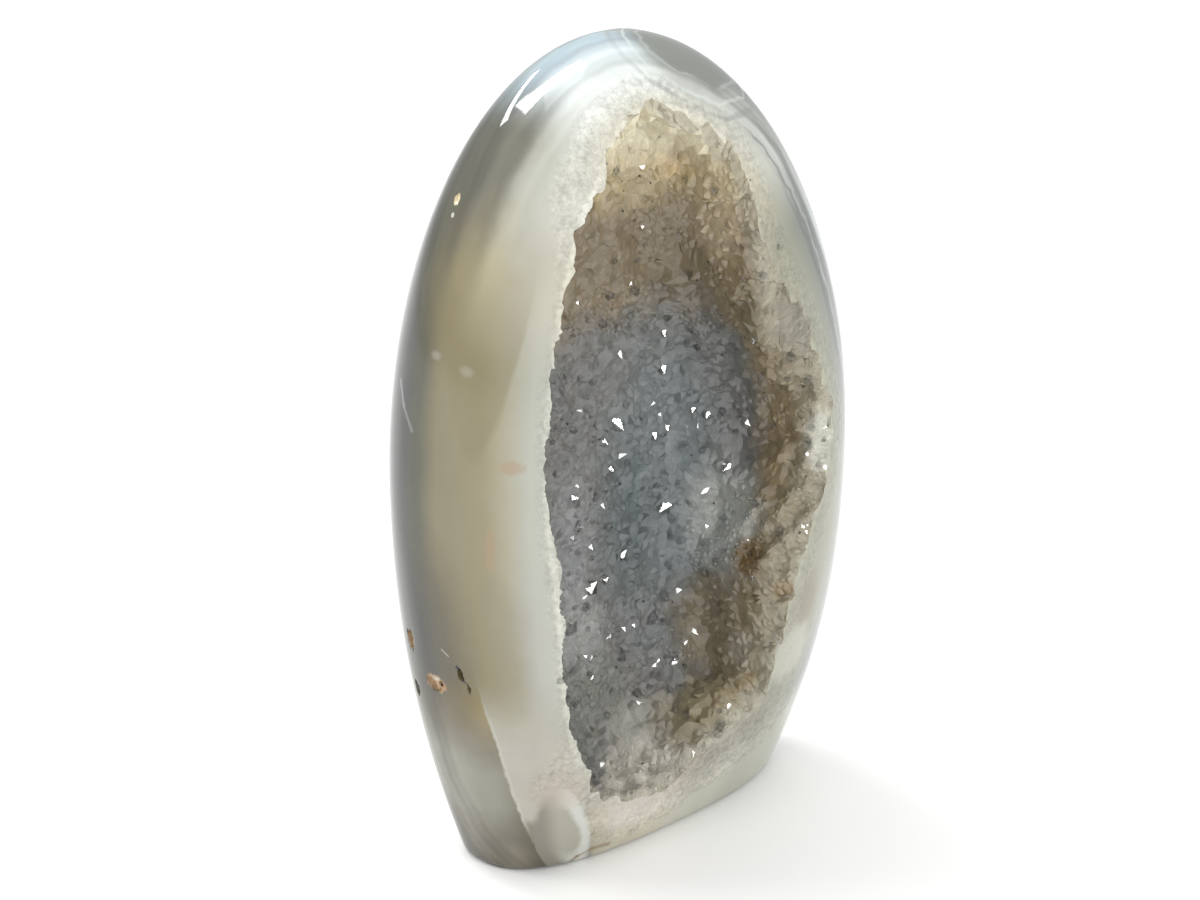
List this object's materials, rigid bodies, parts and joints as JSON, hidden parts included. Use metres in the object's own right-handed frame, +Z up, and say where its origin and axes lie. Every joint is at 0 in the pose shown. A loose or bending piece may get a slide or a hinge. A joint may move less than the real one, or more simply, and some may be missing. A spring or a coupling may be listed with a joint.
{
  "type": "druzy agate freeform",
  "caption": "Standing polished agate freeform with a flat cut base and a tall open hollow lined with small quartz crystals.",
  "frame": {"origin": "middle of the flat cut base, on the surface that the stone stands on", "axes": "+Z up along the stone's height, +X across its width, -Y out of the open hollow"},
  "size_m": [0.0781, 0.05, 0.13],
  "materials": {
    "agate": "polished, translucent, banded grey, cream and blue-white",
    "quartz": "fine translucent druse, grey to white, with glassy crystal faces"
  },
  "bodies": {
    "root": {"agate_body": "agate", "druzy_crust": "quartz"}
  },
  "joints": []
}
